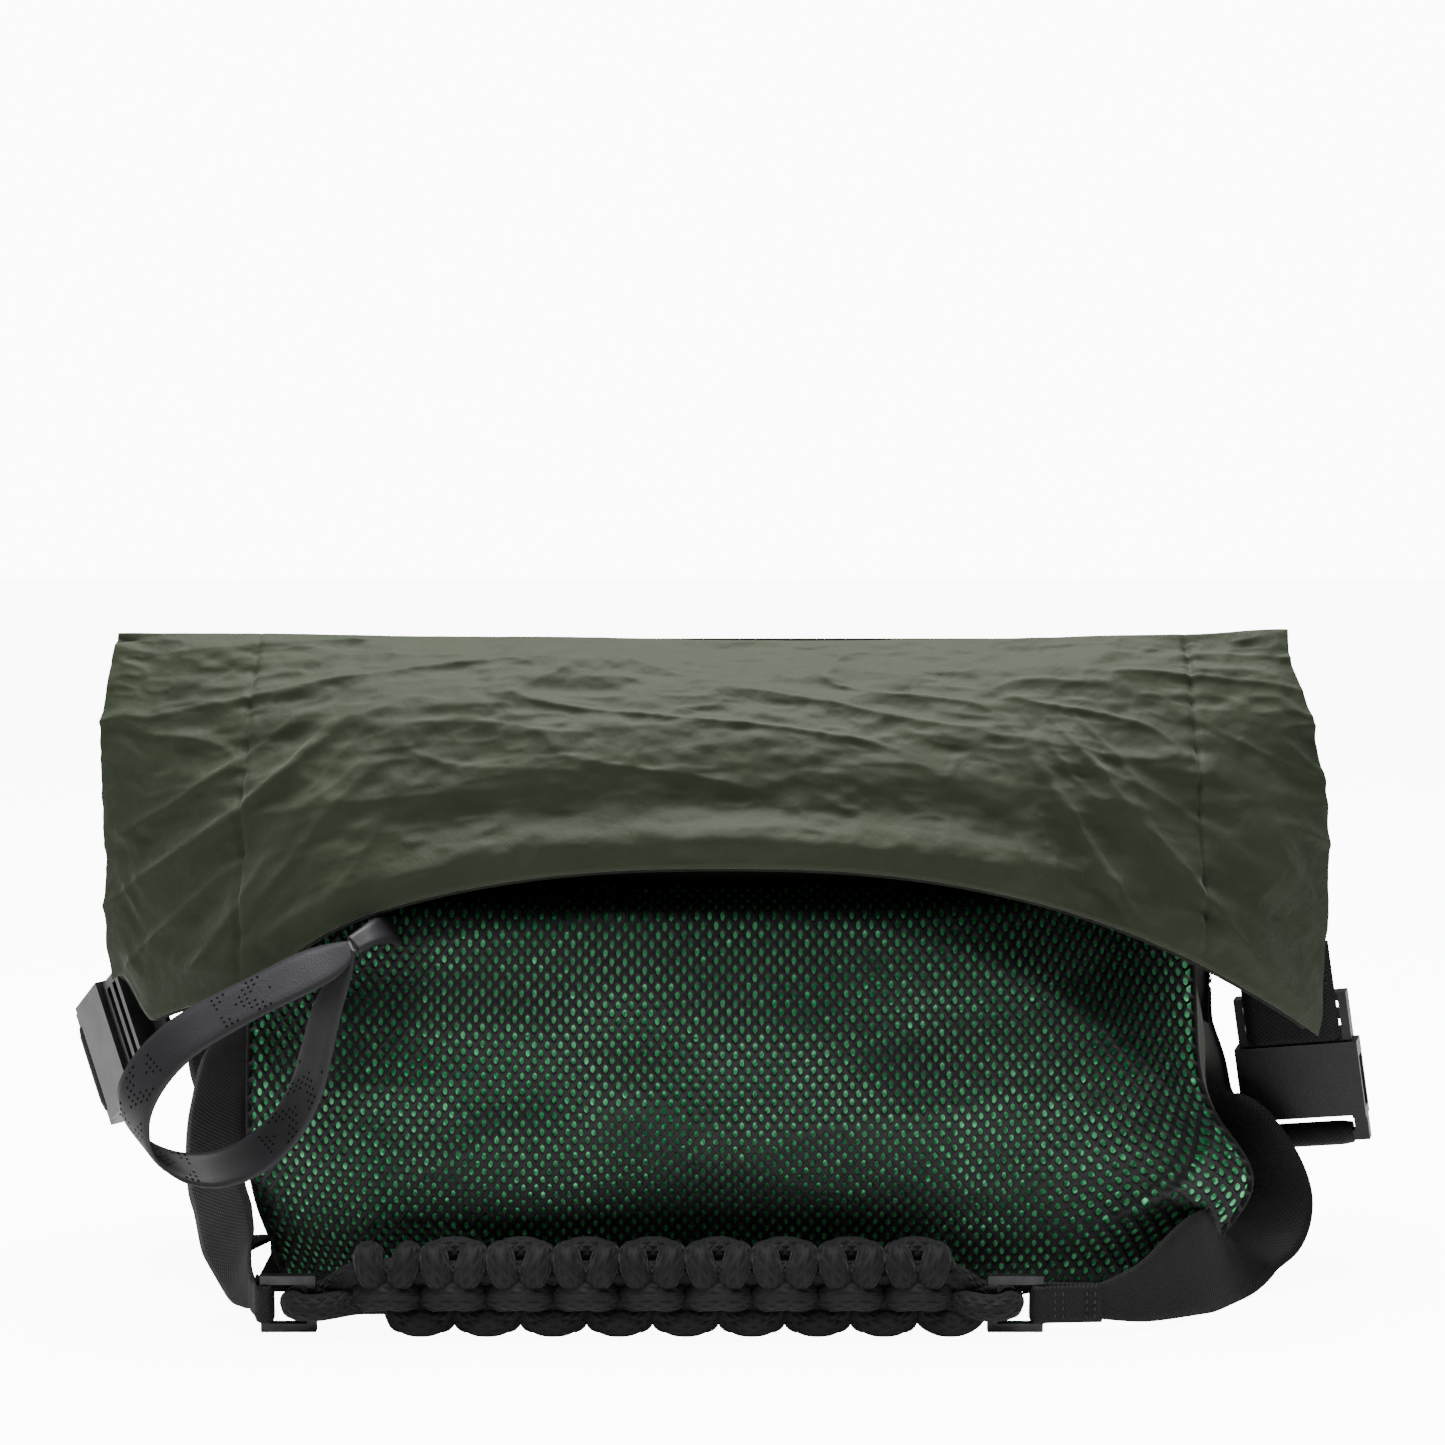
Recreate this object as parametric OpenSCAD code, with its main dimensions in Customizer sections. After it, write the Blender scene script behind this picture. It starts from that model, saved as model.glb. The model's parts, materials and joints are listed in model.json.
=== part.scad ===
// Fold-over sling bag: puffy mesh front over a glossy lining, folded nylon sleeve,
// two side-release buckles, webbing strap with a knotted cord grip, and a wrist loop.
// X runs to the wearer's right in front view, -Y faces the front, +Z is up, floor at Z = 0.

/* [Body] */
// Half of the body's width, seam to seam
body_half = 186; // [170:1:196]
// Height of the soft ledge where the mesh ends
ledge_z = 158; // [150:1:162]
// How far the front stands out at the ledge and floor
front_depth = 60; // [54:1:62]
// Extra bulge of the front at mid height
front_bulge = 16; // [8:1:17]
// How far the back panel stands behind the middle
back_depth = 56; // [50:1:58]
// Thickness of soft cloth parts
cloth = 1.8; // [1.4:0.1:2]

/* [Folded sleeve] */
// Height of the fold
fold_z = 258; // [255:1:266]
// Left end of the fold from the middle
sleeve_left = 246; // [240:1:250]
// Right end of the fold from the middle
sleeve_right = 240; // [234:1:244]
// Height of the arched hem at its middle
hem_mid_z = 177; // [174:1:182]
// How much lower the hem is at its ends
hem_drop = 78; // [70:1:80]
// Thickness of one sleeve layer
layer = 1.4; // [1:0.1:1.5]

/* [Buckles] */
// Width of a buckle
buckle_w = 50; // [50:0.5:51]
// Thickness of a buckle's socket
buckle_t = 12; // [12:0.5:13]
// Height of the slot for webbing in the socket
slot_h = 7; // [6.8:0.1:7]

/* [Carry strap] */
// Width of the webbing
web_w = 38; // [34:1:38]
// Thickness of the webbing
web_t = 2; // [1.6:0.1:2]
// Radius of the grip's core cord
cord_r = 4.6; // [4.2:0.1:4.7]
// Number of knots on the grip
knots = 9; // [5:1:9]
// Spacing of the knots
knot_pitch = 25; // [24:0.5:25]

/* [Wrist loop] */
// Width of the rubber ribbon
ribbon_w = 14; // [10:1:14]
// Thickness of the rubber ribbon
ribbon_t = 2.4; // [2:0.1:3]

/* [Hidden] */
$fn = 48;

olive = [0.25, 0.29, 0.21];
black = [0.07, 0.07, 0.08];
charcoal = [0.16, 0.16, 0.17];
mint = [0.2, 0.55, 0.35];

seam_gap = 0.4;             // between the pieces on each side of a seam
base_t = 1.6;               // bottom cloth
floor_gap = 2;              // side cloth starts just above the bottom cloth
neck_z = ledge_z + 4;       // the neck starts above the ledge binding
neck_top = 246;             // the neck ends just under the fold
fold_y = 0;
sleeve_half = 240;          // where the hem's curve reaches its full drop

buckle_right = [234, 6, 108];
buckle_right_turn = [0, -9, -20];
buckle_left = [-234, -21, 104];
buckle_left_turn = [10, 58.4, -46.5];
mouth = -20.4;              // where the socket starts, down the buckle's length
buckle_end = -62;
cavity_x = 21.5;
cavity_y = 3.7;

grip_y = -94;
grip_z = 18;
ring_left_x = -164.5;
ring_right_x = 111;
ring_w = 21;
ring_h = 22;
ring_t = 3.5;
ring_bar = 3.4;
ring_z = 11.6;
end_bar_left = ring_left_x - ring_w / 2 + ring_bar / 2;
end_bar_right = ring_right_x + ring_w / 2 - ring_bar / 2;
knot_first = -126.5;

// Route of each strap: centre point, direction of the width, share of the full width
strap_route_right = [
    [[192.5, 12, 97], [0, 1, 0], 1],
    [[201, 5, 81], [-0.1, 1, -0.1], 1],
    [[203.5, 2, 64], [-0.35, 0.93, -0.1], 1],
    [[212, -6.6, 50], [-0.75, 0.6, -0.3], 1],
    [[219.5, -16, 34], [-0.95, 0.25, -0.2], 1],
    [[220, -22, 26], [-0.96, 0.28, 0], 1],
    [[215, -30, 19], [-0.88, 0.42, 0.2], 1],
    [[205, -40, 17], [-0.68, 0.5, 0.5], 1],
    [[199, -53, 17.5], [-0.25, 0.3, 0.92], 1],
    [[184, -72, 18.8], [-0.08, 0.25, 0.96], 1],
    [[162, -88, 14], [0, 0.2, 0.98], 0.62],
    [[142, -94, 12], [0, 0, 1], 0.36]
];
strap_route_left = [
    [[-192.5, 12, 97], [0, -1, 0], 1],
    [[-197, -5, 76], [0.1, -1, 0], 1],
    [[-199.5, -25, 58], [0.33, -0.93, 0.1], 1],
    [[-200.5, -43, 42], [0.62, -0.75, 0.2], 1],
    [[-195, -54, 27], [0.7, -0.65, 0.3], 1],
    [[-189, -63, 17], [0.5, -0.5, 0.7], 0.9],
    [[-184.5, -73, 13], [0.25, -0.25, 0.93], 0.6],
    [[-180, -82.5, 12], [0, 0, 1], 0.36]
];
// Slack webbing that loops from the left side down to the base's edge
tail_route = [
    [[-191, 30, 72], [0, 1, 0], 1],
    [[-203, 28, 56], [0, 1, 0], 1],
    [[-218, 20, 40], [0, 1, 0], 1],
    [[-226, 10, 24], [0, 1, 0], 1],
    [[-221, 3, 10], [0, 1, 0], 1],
    [[-207, -3, 4], [0, 1, 0], 1],
    [[-192, -6, 4], [0, 1, 0], 1]
];
tail_w = 30;

// Teardrop that the wrist loop hangs in, seen from the front
loop_route = [
    [-134, 151], [-140, 134], [-145, 114], [-151, 93], [-161, 75], [-177, 63],
    [-195, 63], [-208, 74], [-215, 91], [-213, 109], [-202, 122], [-183, 130], [-160, 139]
];
loop_y = -84;

function mix(a, b, t) = a + (b - a) * t;
function smooth(t) = let (s = min(max(t, 0), 1)) s * s * (3 - 2 * s);
function steps(n) = [for (i = [0:n]) i / n];

// ---- surfaces of the body and the sleeve ----
function corner_depth(z) = 52 - 18 * smooth((z - 60) / 98);
function middle_depth(z) = front_depth + front_bulge * sin(z);
function front_y(x, z) =
    -mix(corner_depth(z), middle_depth(z), 1 - pow(abs(x) / body_half, 4));
function back_y(x, z) = back_depth + 7 * sin(z * 0.9) * (1 - pow(abs(x) / body_half, 4));
function hem_z(x) = hem_mid_z - hem_drop * pow(abs(x) / sleeve_half, 2.5);
function hem_y(x) = -(76 - 46 * pow(abs(x) / sleeve_half, 4));

// A point of the sleeve: t = 0 on the fold, 1 on the hem
function sleeve_point(x, t) =
    let (
        ey = hem_y(x),
        ez = hem_z(x),
        cy = 0.75 * ey,
        cz = mix(fold_z, ez, 0.22),
        a = (1 - t) * (1 - t),
        b = 2 * t * (1 - t),
        c = t * t
    )
    [x, a * fold_y + b * cy + c * ey, a * fold_z + b * cz + c * ez];

function front_grid(x0, x1, out) =
    [for (t = steps(12)) let (z = mix(floor_gap, ledge_z, t))
        [for (s = steps(24)) let (x = mix(x0, x1, s)) [x, front_y(x, z) - out, z]]];
function back_grid(x0, x1) =
    [for (t = steps(6)) let (z = mix(floor_gap, ledge_z, t))
        [for (s = steps(12)) let (x = mix(x0, x1, s)) [x, back_y(x, z), z]]];
function sleeve_grid(x0, x1, t0, t1, cols, shift) =
    [for (t = steps(8))
        [for (s = steps(cols)) sleeve_point(mix(x0, x1, s), mix(t0, t1, t)) + shift]];
function neck_grid(low_y, high_y) =
    [for (t = steps(4))
        [for (s = steps(16))
            let (x = mix(-body_half + 2, body_half - 2, s), z = mix(neck_z, neck_top, t))
            [x, mix(low_y == 0 ? front_y(x, ledge_z) : back_y(x, ledge_z), high_y, t), z]]];

// Closed cloth: a grid of points and the same grid moved by shift
module skin(grid, shift) {
    rows = len(grid);
    cols = len(grid[0]);
    count = rows * cols;
    points = concat(
        [for (r = grid) each r],
        [for (r = grid) each [for (p = r) p + shift]]
    );
    faces = concat(
        [for (r = [0:rows - 2]) for (c = [0:cols - 2]) let (i = r * cols + c)
            each [[i, i + cols, i + 1], [i + 1, i + cols, i + cols + 1]]],
        [for (r = [0:rows - 2]) for (c = [0:cols - 2]) let (i = count + r * cols + c)
            each [[i, i + 1, i + cols], [i + 1, i + cols + 1, i + cols]]],
        [for (c = [0:cols - 2]) let (i = c, k = (rows - 1) * cols + c)
            each [
                [i, i + 1, i + count], [i + 1, i + 1 + count, i + count],
                [k, k + count, k + 1], [k + 1, k + count, k + 1 + count]
            ]],
        [for (r = [0:rows - 2]) let (i = r * cols, k = r * cols + cols - 1)
            each [
                [i, i + count, i + cols], [i + cols, i + count, i + cols + count],
                [k, k + cols, k + count], [k + cols, k + cols + count, k + count]
            ]]
    );
    polyhedron(points, faces, convexity = 6);
}

function spline(a, b, c, d, t) =
    b + t / 2 * (c - a + t * (2 * a - 5 * b + 4 * c - d + t * (3 * b - a - 3 * c + d)));

// The same route with smooth in-between stations
function finer(route, parts) =
    let (last = len(route) - 1)
    concat(
        [for (i = [0:last - 1]) for (j = [0:parts - 1])
            [for (k = [0:2])
                spline(route[max(i - 1, 0)][k], route[i][k], route[i + 1][k],
                    route[min(i + 2, last)][k], j / parts)]],
        [route[last]]
    );

// Closed band along a route of [centre, width direction, share of the full width]
module band(route, width, thick) {
    n = len(route);
    function heading(i) =
        let (a = route[max(i - 1, 0)][0], b = route[min(i + 1, n - 1)][0], v = b - a)
        v / norm(v);
    function across(i) = let (w = route[i][1]) w / norm(w) * width / 2 * route[i][2];
    function outward(i) = let (v = cross(heading(i), across(i))) v / norm(v) * thick / 2;
    points = [for (i = [0:n - 1])
        let (p = route[i][0], w = across(i), o = outward(i))
        each [p + w + o, p - w + o, p - w - o, p + w - o]];
    sides = [for (i = [0:n - 2]) for (k = [0:3])
        let (a = i * 4 + k, b = i * 4 + (k + 1) % 4)
        each k < 2 ? [[a, b, a + 4], [b, b + 4, a + 4]] : [[a, b, b + 4], [a, b + 4, a + 4]]];
    last = (n - 1) * 4;
    faces = concat(sides, [[0, 3, 2], [0, 2, 1]],
        [[last, last + 1, last + 2], [last, last + 2, last + 3]]);
    polyhedron(points, faces, convexity = 4);
}

// Closed ring of round cord along a closed route
module cord_ring(route, radius, sides = 8) {
    n = len(route);
    points = [for (i = [0:n - 1])
        let (
            a = route[(i + n - 1) % n],
            b = route[(i + 1) % n],
            ahead = (b - a) / norm(b - a),
            up = [0, 0, 1],
            side = cross(ahead, up) / norm(cross(ahead, up)),
            top = cross(side, ahead)
        )
        for (k = [0:sides - 1])
            route[i] + radius * (cos(k * 360 / sides) * side + sin(k * 360 / sides) * top)];
    faces = [for (i = [0:n - 1]) for (k = [0:sides - 1])
        let (
            a = i * sides + k,
            b = i * sides + (k + 1) % sides,
            c = ((i + 1) % n) * sides + k,
            d = ((i + 1) % n) * sides + (k + 1) % sides
        )
        each [[a, b, c], [b, d, c]]];
    polyhedron(points, faces, convexity = 6);
}

// ---- bag body ----
module base_panel() {
    color(olive) translate([-body_half - 1, -50, 0]) cube([2 * body_half + 2, 108, base_t]);
}

module base_board() {
    color(black) translate([-170, -42, base_t + 0.3]) cube([340, 90, 2]);
}

module front_lining() {
    color(mint) skin(front_grid(-body_half + 2, body_half - 2, 0), [0, cloth, 0]);
}

module front_mesh() {
    color(black) skin(front_grid(-body_half + 2, body_half - 2, 2.1), [0, cloth - 0.3, 0]);
}

module back_panel() {
    color(olive) skin(back_grid(body_half - 2, -body_half + 2), [0, -cloth, 0]);
}

module gusset(side) {
    outline = [
        [-50, floor_gap], [-50, 60], [-33, ledge_z], [-3, neck_top - 2],
        [5, neck_top - 2], [back_depth - 3, ledge_z], [back_depth - 3, floor_gap]
    ];
    near = body_half - 1.4;
    color(olive)
        translate([side > 0 ? near : -near - 2.4, 0, 0])
            rotate([90, 0, 90]) linear_extrude(2.4) polygon(outline);
}

module neck_front() {
    color(olive) skin(neck_grid(0, -5), [0, cloth * 0.7, 0]);
}

module neck_back() {
    color(olive)
        skin([for (r = neck_grid(1, 9)) [for (i = [len(r) - 1:-1:0]) r[i]]], [0, -cloth * 0.7, 0]);
}

module ledge_binding() {
    z = ledge_z + 1.9;
    route = [for (s = steps(24)) let (x = mix(-body_half + 3, body_half - 3, s))
        [[x, front_y(x, ledge_z) - 1, z], [0, 1, 0], 1]];
    color(black) band(route, 3.2, 2.4);
}

module loop_anchor() {
    color(charcoal) translate([-141, -83.6, 138]) cube([14, 18, 9]);
}

module strap_anchor(side) {
    color(black)
        translate([side > 0 ? body_half + 1.3 : -body_half - 3.8, -7, 99])
            cube([2.5, web_w, 40]);
}

// ---- folded sleeve ----
module sleeve_center() {
    color(olive)
        skin(sleeve_grid(-body_half + seam_gap, body_half - seam_gap, 0, 1, 16, [0, 0, 0]),
            [0, layer * 0.8, -layer * 0.6]);
}

module sleeve_wing(side) {
    near = body_half + seam_gap;
    x0 = side > 0 ? near : -sleeve_left;
    x1 = side > 0 ? sleeve_right : -near;
    color(olive) skin(sleeve_grid(x0, x1, 0, 1, 4, [0, 0, 0]), [0, layer * 0.8, -layer * 0.6]);
}

module sleeve_inner() {
    color(olive)
        skin(sleeve_grid(-sleeve_left + 2, sleeve_right - 2, 0.08, 0.97, 20, [0, 2.6, -1.8]),
            [0, layer * 0.8, -layer * 0.6]);
}

module hem_binding() {
    route = [for (s = steps(28)) let (x = mix(-sleeve_left + 3, sleeve_right - 3, s))
        [sleeve_point(x, 1) + [0, 1.6, -2.2], [0, 1, 0.1], 1]];
    color(black) band(route, 4, 1.4);
}

// ---- buckles: width along X, length down -Z, thickness along Y ----
module at_buckle(side) {
    spot = side > 0 ? buckle_right : buckle_left;
    turn = side > 0 ? buckle_right_turn : buckle_left_turn;
    translate(spot) rotate(turn) children();
}

module block(x0, x1, y0, y1, z0, z1) {
    translate([x0, y0, z0]) cube([x1 - x0, y1 - y0, z1 - z0]);
}

module buckle_male(side) {
    half = buckle_w / 2 - 2;
    color(charcoal) at_buckle(side) {
        difference() {
            block(-half, half, -4, 4, -20, 0);
            for (z = [-7.6, -15.2]) block(-half + 3.5, half - 3.5, -5, 5, z, z + 4.2);
        }
        block(-3.5, 3.5, -3.2, 3.2, -46, -19.5);
    }
}

// One sprung arm: its root hinges on the male half, its pad rests in the socket's window
module buckle_prong(side, way) {
    outline = [
        [13.6, -22], [15.6, -20.8], [18.4, -20.8], [20.3, -22], [20.5, -27.3], [24.1, -43.3],
        [22.5, -46], [19.5, -47.2], [14.5, -46.2], [14, -40], [16.4, -28]
    ];
    color(charcoal) at_buckle(side)
        translate([0, 3.1, 0]) rotate([90, 0, 0]) linear_extrude(6.2)
            polygon([for (p = outline) [way * p[0], p[1]]]);
}

module buckle_female(side) {
    half = buckle_w / 2;
    deep = buckle_t / 2;
    floor_z = -48.5;
    slot_top = -51;
    color(charcoal) at_buckle(side)
        difference() {
            union() {
                block(-half, half, -deep, deep, slot_top - 1, mouth);
                block(-half, half, -3, 3, buckle_end, slot_top);
            }
            block(-cavity_x, cavity_x, -cavity_y, cavity_y, floor_z, mouth + 1);
            block(-half - 1, half + 1, -cavity_y, cavity_y, -48, -27);
            block(-half + 5.5, half - 5.5, -deep - 1, deep + 1, slot_top - slot_h, slot_top);
        }
}

module bar_wrap(side) {
    color(black) at_buckle(side)
        difference() {
            block(-18.5, 18.5, -4.8, 4.8, buckle_end - 1.7, -56.6);
            block(-19, 19, -3.3, 3.3, buckle_end - 0.3, -57.7);
        }
}

module tab_webbing(side) {
    near = side > 0 ? -6.3 : 4.3;
    color(black) at_buckle(side) block(-19, 19, near, near + 2, -19.5, side > 0 ? 22 : 14);
}

// ---- carry strap ----
module strap_webbing(route) {
    color(black) band(finer(route, 3), web_w, web_t);
}

module strap_tail() {
    color(black) band(finer(tail_route, 3), tail_w, web_t);
}

module ring(x) {
    color(charcoal)
        difference() {
            translate([x - ring_w / 2, grip_y - ring_t / 2, ring_z - ring_h / 2])
                cube([ring_w, ring_t, ring_h]);
            translate([x - ring_w / 2 + ring_bar, grip_y - ring_t, ring_z - ring_h / 2 + ring_bar])
                cube([ring_w - 2 * ring_bar, 2 * ring_t, ring_h - 2 * ring_bar]);
        }
}

// The webbing's folded end, sewn round the ring's outer bar and turned about it
module strap_end(bar_x, turn, long) {
    half_bar = ring_bar / 2;
    color(black) translate([bar_x, grip_y, 0]) rotate([0, 0, turn])
        difference() {
            block(-half_bar - 1.4, long, -3.5, 3.5, 5, 18.5);
            cylinder(r = half_bar + 0.9, h = 60, center = true);
        }
}

// Cord from ring to ring and back, side by side at the rings and stacked in the knots
module grip_core() {
    bend = 7.2;
    left = ring_left_x + ring_w / 2 - ring_bar / 2;
    right = ring_right_x - ring_w / 2 + ring_bar / 2;
    stack = 5.4;
    low = 12;
    function run(s, way) =
        let (
            x = mix(left, right, s),
            k = smooth(min(x - left, right - x) / 24)
        )
        [x, grip_y + way * mix(bend, 0, k), mix(low, grip_z + way * stack, k)];
    shares = concat([for (i = [0:8]) i / 80], [for (i = [8:-1:0]) 1 - i / 80]);
    route = concat(
        [for (s = shares) run(s, 1)],
        [for (a = [60, 30, 0, -30, -60])
            [right + bend * cos(a), grip_y + bend * sin(a), low]],
        [for (i = [len(shares) - 1:-1:0]) run(shares[i], -1)],
        [for (a = [-120, -150, 180, 150, 120])
            [left + bend * cos(a), grip_y + bend * sin(a), low]]
    );
    color(charcoal) cord_ring(route, cord_r);
}

module knot() {
    wide = 24;
    high = 36;
    round_r = 9;
    rotate([90, 0, 90])
        translate([0, 0, -10.5]) linear_extrude(21)
            difference() {
                union() {
                    square([wide, high - 2 * round_r], center = true);
                    square([wide - 2 * round_r, high], center = true);
                    for (y = [-1, 1]) for (z = [-1, 1])
                        translate([y * (wide / 2 - round_r), z * (high / 2 - round_r)])
                            circle(round_r);
                }
                square([11.4, 22.6], center = true);
            }
}

module grip_knots() {
    color(charcoal)
        for (i = [0:knots - 1])
            translate([knot_first + i * knot_pitch, grip_y, grip_z + 0.1]) knot();
}

// ---- wrist loop ----
module wrist_loop() {
    n = len(loop_route);
    function beside(i, way) =
        let (
            a = loop_route[(i + n - 1) % n],
            b = loop_route[(i + 1) % n],
            v = (b - a) / norm(b - a)
        )
        loop_route[i] + way * ribbon_t / 2 * [-v[1], v[0]];
    color(charcoal)
        translate([0, loop_y, 0]) rotate([90, 0, 0]) linear_extrude(ribbon_w)
            difference() {
                polygon([for (i = [0:n - 1]) beside(i, 1)]);
                polygon([for (i = [0:n - 1]) beside(i, -1)]);
            }
}

base_panel();
base_board();
front_lining();
front_mesh();
back_panel();
gusset(-1);  // gusset_left
gusset(1);  // gusset_right
neck_front();
neck_back();
ledge_binding();
loop_anchor();
strap_anchor(-1);  // strap_anchor_left
strap_anchor(1);  // strap_anchor_right
sleeve_center();
sleeve_wing(-1);  // sleeve_wing_left
sleeve_wing(1);  // sleeve_wing_right
sleeve_inner();
hem_binding();
tab_webbing(-1);  // tab_webbing_left
tab_webbing(1);  // tab_webbing_right
buckle_male(-1);  // buckle_male_left
buckle_male(1);  // buckle_male_right
buckle_prong(-1, -1);  // buckle_prong_left_outer
buckle_prong(-1, 1);  // buckle_prong_left_inner
buckle_prong(1, -1);  // buckle_prong_right_inner
buckle_prong(1, 1);  // buckle_prong_right_outer
buckle_female(-1);  // buckle_female_left
buckle_female(1);  // buckle_female_right
bar_wrap(-1);  // bar_wrap_left
bar_wrap(1);  // bar_wrap_right
strap_webbing(strap_route_left);  // strap_webbing_left
strap_webbing(strap_route_right);  // strap_webbing_right
strap_end(end_bar_left, 120, 13);  // strap_end_left
strap_end(end_bar_right, 0, 21);  // strap_end_right
strap_tail();  // strap_tail_left
ring(ring_left_x);  // ring_left
ring(ring_right_x);  // ring_right
grip_core();
grip_knots();
wrist_loop();
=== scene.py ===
import json
import math

import bpy
import numpy as np
from mathutils import Matrix, Vector


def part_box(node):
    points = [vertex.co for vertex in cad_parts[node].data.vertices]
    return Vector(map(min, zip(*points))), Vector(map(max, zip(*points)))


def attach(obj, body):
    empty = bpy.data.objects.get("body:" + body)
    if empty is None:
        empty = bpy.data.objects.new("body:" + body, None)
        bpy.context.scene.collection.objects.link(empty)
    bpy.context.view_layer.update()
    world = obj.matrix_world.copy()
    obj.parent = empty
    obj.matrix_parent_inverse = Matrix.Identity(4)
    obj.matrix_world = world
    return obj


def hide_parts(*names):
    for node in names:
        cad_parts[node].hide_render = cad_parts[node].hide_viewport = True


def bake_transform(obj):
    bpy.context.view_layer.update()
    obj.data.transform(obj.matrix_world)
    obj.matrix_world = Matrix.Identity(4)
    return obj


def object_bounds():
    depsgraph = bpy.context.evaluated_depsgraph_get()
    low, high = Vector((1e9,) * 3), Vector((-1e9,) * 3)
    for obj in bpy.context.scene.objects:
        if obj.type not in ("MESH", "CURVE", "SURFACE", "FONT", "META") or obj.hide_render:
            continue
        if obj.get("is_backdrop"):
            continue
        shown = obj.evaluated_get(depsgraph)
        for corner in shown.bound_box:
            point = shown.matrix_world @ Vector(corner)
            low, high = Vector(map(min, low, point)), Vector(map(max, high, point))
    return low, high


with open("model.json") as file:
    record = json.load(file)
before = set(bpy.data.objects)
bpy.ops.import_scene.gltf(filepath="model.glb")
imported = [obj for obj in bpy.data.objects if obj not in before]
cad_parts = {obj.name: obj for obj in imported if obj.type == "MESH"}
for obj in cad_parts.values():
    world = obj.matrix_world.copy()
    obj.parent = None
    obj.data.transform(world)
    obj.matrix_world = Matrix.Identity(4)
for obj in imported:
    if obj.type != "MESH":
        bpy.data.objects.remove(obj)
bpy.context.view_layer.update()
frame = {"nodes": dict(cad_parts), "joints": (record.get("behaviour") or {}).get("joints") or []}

mm = 0.001
scene = bpy.context.scene

# Camera and lights
view = {"place": (0, -1.0575, 0.3537), "pitchDown": 7.12, "lens": 65.6}
cameraData = bpy.data.cameras.new("camera")
cameraData.lens = view["lens"]
cameraData.sensor_width = 36
camera = bpy.data.objects.new("camera", cameraData)
camera.location = view["place"]
camera.rotation_euler = (math.radians(90 - view["pitchDown"]), 0, 0)
scene.collection.objects.link(camera)
scene.camera = camera

studio = {
    "sky": 0.14,
    "backdrop": 12.0,
    "top": 68,
    "front": 1.8,
    "floorColor": (0.95, 0.95, 0.945),
    "floorGlow": 10.0,
    "floorHeight": -0.3,
}


def addLight(name, place, aim, size, power):
    data = bpy.data.lights.new(name, "AREA")
    data.shape = "RECTANGLE"
    data.size, data.size_y = size
    data.energy = power
    light = bpy.data.objects.new(name, data)
    light.location = place
    light.rotation_euler = (Vector(aim) - Vector(place)).to_track_quat("-Z", "Y").to_euler()
    scene.collection.objects.link(light)


addLight("topLight", (-0.05, 0.1, 1.4), (0, -0.02, 0.1), (1.5, 0.8), studio["top"])
addLight("frontLight", (-0.5, -1.8, 1.2), (0, 0, 0.1), (1.6, 1.0), studio["front"])


# Pale backdrop for the camera, softer sky for everything else
def makeWorld():
    world = bpy.data.worlds.new("studioWorld")
    world.use_nodes = True
    tree = world.node_tree
    sky = tree.nodes["Background"]
    sky.inputs[0].default_value = (1, 1, 1, 1)
    sky.inputs[1].default_value = studio["sky"]
    backdrop = tree.nodes.new("ShaderNodeBackground")
    backdrop.inputs[0].default_value = (1, 1, 1, 1)
    backdrop.inputs[1].default_value = studio["backdrop"]
    path = tree.nodes.new("ShaderNodeLightPath")
    choose = tree.nodes.new("ShaderNodeMixShader")
    tree.links.new(path.outputs["Is Camera Ray"], choose.inputs[0])
    tree.links.new(sky.outputs[0], choose.inputs[1])
    tree.links.new(backdrop.outputs[0], choose.inputs[2])
    tree.links.new(choose.outputs[0], tree.nodes["World Output"].inputs[0])
    scene.world = world


makeWorld()


# Number and mesh helpers, all in millimetres
def mix(a, b, t):
    return a + (b - a) * t


def smooth(t):
    s = np.clip(t, 0, 1)
    return s * s * (3 - 2 * s)


def hump(t, middle, width):
    return np.exp(-(((t - middle) / width) ** 2))


# Smooth random field from -1 to 1, one hill per unit
def softNoise(x, y, seed):
    x, y = np.broadcast_arrays(np.asarray(x, float), np.asarray(y, float))
    xi, yi = np.floor(x), np.floor(y)
    fx, fy = smooth(x - xi), smooth(y - yi)

    def corner(i, j):
        h = np.sin(i * 127.1 + j * 311.7 + seed * 74.7) * 43758.5453
        return h - np.floor(h)

    low = mix(corner(xi, yi), corner(xi + 1, yi), fx)
    high = mix(corner(xi, yi + 1), corner(xi + 1, yi + 1), fx)
    return 2 * mix(low, high, fy) - 1


# Narrow ridges, 0 to 1
def crease(x, y, seed, sharp=3):
    return (1 - np.abs(softNoise(x, y, seed))) ** sharp


# Smooth in-between rows of a list of equally long rows
def spline(stations, parts):
    rows = np.array(stations, float)
    last = len(rows) - 1
    out = []
    for i in range(last):
        a, b, c, d = rows[max(i - 1, 0)], rows[i], rows[i + 1], rows[min(i + 2, last)]
        for j in range(parts):
            t = j / parts
            out.append(b + t / 2 * (c - a + t * (2 * a - 5 * b + 4 * c - d + t * (3 * b - a - 3 * c + d))))
    out.append(rows[last])
    return np.array(out)


def unit(v):
    return v / np.maximum(np.linalg.norm(v, axis=-1, keepdims=True), 1e-12)


def buildMesh(name, points, faces, uv=None, material=None):
    mesh = bpy.data.meshes.new(name)
    mesh.from_pydata(np.asarray(points, float).tolist(), [], faces)
    if uv is not None:
        layer = mesh.uv_layers.new(name="UVMap")
        loops = np.zeros(len(mesh.loops), int)
        mesh.loops.foreach_get("vertex_index", loops)
        layer.data.foreach_set("uv", np.asarray(uv, float)[loops].ravel())
    mesh.polygons.foreach_set("use_smooth", [True] * len(mesh.polygons))
    mesh.update()
    obj = bpy.data.objects.new(name, mesh)
    scene.collection.objects.link(obj)
    if material:
        mesh.materials.append(material)
    return obj


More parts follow.
